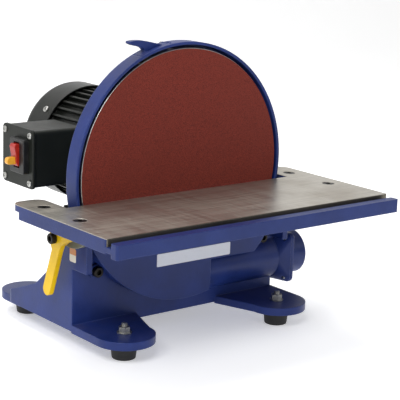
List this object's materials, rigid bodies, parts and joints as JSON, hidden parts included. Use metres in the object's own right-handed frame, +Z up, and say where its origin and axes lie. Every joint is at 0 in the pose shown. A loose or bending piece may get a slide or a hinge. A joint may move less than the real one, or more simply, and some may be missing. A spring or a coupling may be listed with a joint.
{
  "type": "bench disc sander",
  "caption": "Bench disc sander: a large vertical disc on a finned motor, under an arched guard, with a tilting cast table, a lock lever, a dust port and a cast base on rubber feet.",
  "frame": {"origin": "on the standing surface, under the middle of the whole machine", "axes": "+X along the table towards the dust port, +Y from the disc back to the motor, +Z up"},
  "size_m": [0.434, 0.427, 0.3714],
  "materials": {
    "blue_paint": "semi-gloss, slightly rough from the casting",
    "table_iron": "ground top, painted sides",
    "bare_iron": "as cast",
    "black_rubber": "matte",
    "zinc_steel": "zinc plated",
    "dark_steel": "black oxide",
    "white_plate": "satin",
    "side_label": "printed film",
    "abrasive": "coated with fine red-brown grain",
    "disc_aluminium": "turned",
    "machined_steel": "ground",
    "core_steel": "stacked sheet",
    "copper_winding": "varnished copper wire",
    "black_paint": "satin",
    "black_plastic": "moulded",
    "red_plastic": "moulded",
    "yellow_plastic": "moulded",
    "yellow_paint": "gloss",
    "brake_lining": "moulded lining"
  },
  "bodies": {
    "frame": {"base_casting": "blue_paint", "brake_pin": "zinc_steel", "brake_spring": "zinc_steel", "cable_gland": "black_plastic", "cover_screws": "dark_steel", "disc_guard": "blue_paint", "dust_port": "blue_paint", "fan_cover": "black_paint", "fan_cover_screws": "zinc_steel", "foot_nuts": "zinc_steel", "foot_studs": "zinc_steel", "foot_washers": "zinc_steel", "front_bearing": "machined_steel", "front_bell": "black_paint", "guard_screws": "zinc_steel", "guide_pins": "zinc_steel", "lower_cover": "blue_paint", "motor_bolts": "dark_steel", "motor_frame": "black_paint", "motor_washers": "zinc_steel", "name_plate": "white_plate", "paddle_pin": "zinc_steel", "port_screws": "zinc_steel", "rear_bearing": "machined_steel", "rear_bell": "black_paint", "rear_foot_screws": "zinc_steel", "rubber_feet": "black_rubber", "side_label": "side_label", "stator_core": "core_steel", "stator_windings": "copper_winding", "switch_bezel": "black_plastic", "switch_box": "black_paint", "switch_box_screws": "zinc_steel", "switch_cover": "black_paint", "switch_cover_screws": "zinc_steel"},
    "rotor": {"motor_shaft": "machined_steel", "rotor_core": "core_steel", "cooling_fan": "black_plastic", "disc_plate": "disc_aluminium", "abrasive_disc": "abrasive", "hub_key": "dark_steel", "hub_screws": "dark_steel"},
    "table": {"table": "table_iron", "table_screws": "dark_steel", "left_trunnion": "bare_iron", "right_trunnion": "bare_iron"},
    "lock_lever": {"lock_lever": "yellow_paint", "lock_screw": "dark_steel"},
    "brake_lever": {"brake_lever": "blue_paint", "brake_shoe": "brake_lining"},
    "switch_paddle": {"switch_paddle": "red_plastic"},
    "switch_key": {"switch_key": "yellow_plastic"}
  },
  "joints": [
    {"name": "disc_spin", "type": "hinge", "parent": "frame", "child": "rotor", "pos_m": [0, -0.0485, 0.208], "axis": [0, 1, 0], "continuous": true},
    {"name": "table_tilt", "type": "hinge", "parent": "frame", "child": "table", "pos_m": [0, -0.0485, 0.181], "axis": [1, 0, 0], "range_deg": [-10, 45]},
    {"name": "lock_lever_turn", "type": "hinge", "parent": "table", "child": "lock_lever", "pos_m": [-0.175, -0.03748, 0.14255], "axis": [1, 0, 0], "range_deg": [-4, 40]},
    {"name": "brake_press", "type": "hinge", "parent": "frame", "child": "brake_lever", "pos_m": [-0.022, -0.0345, 0.36446], "axis": [0, -1, 0], "range_deg": [0, 2.1], "stiffness_Nm_per_rad": 2, "springref_deg": -2.86},
    {"name": "paddle_press", "type": "hinge", "parent": "frame", "child": "switch_paddle", "pos_m": [-0.157, 0.082, 0.222], "axis": [0, 1, 0], "range_deg": [0, 8]},
    {"name": "key_pull", "type": "slide", "parent": "switch_paddle", "child": "switch_key", "axis": [-1, 0, 0], "range_m": [0, 0.008]}
  ]
}
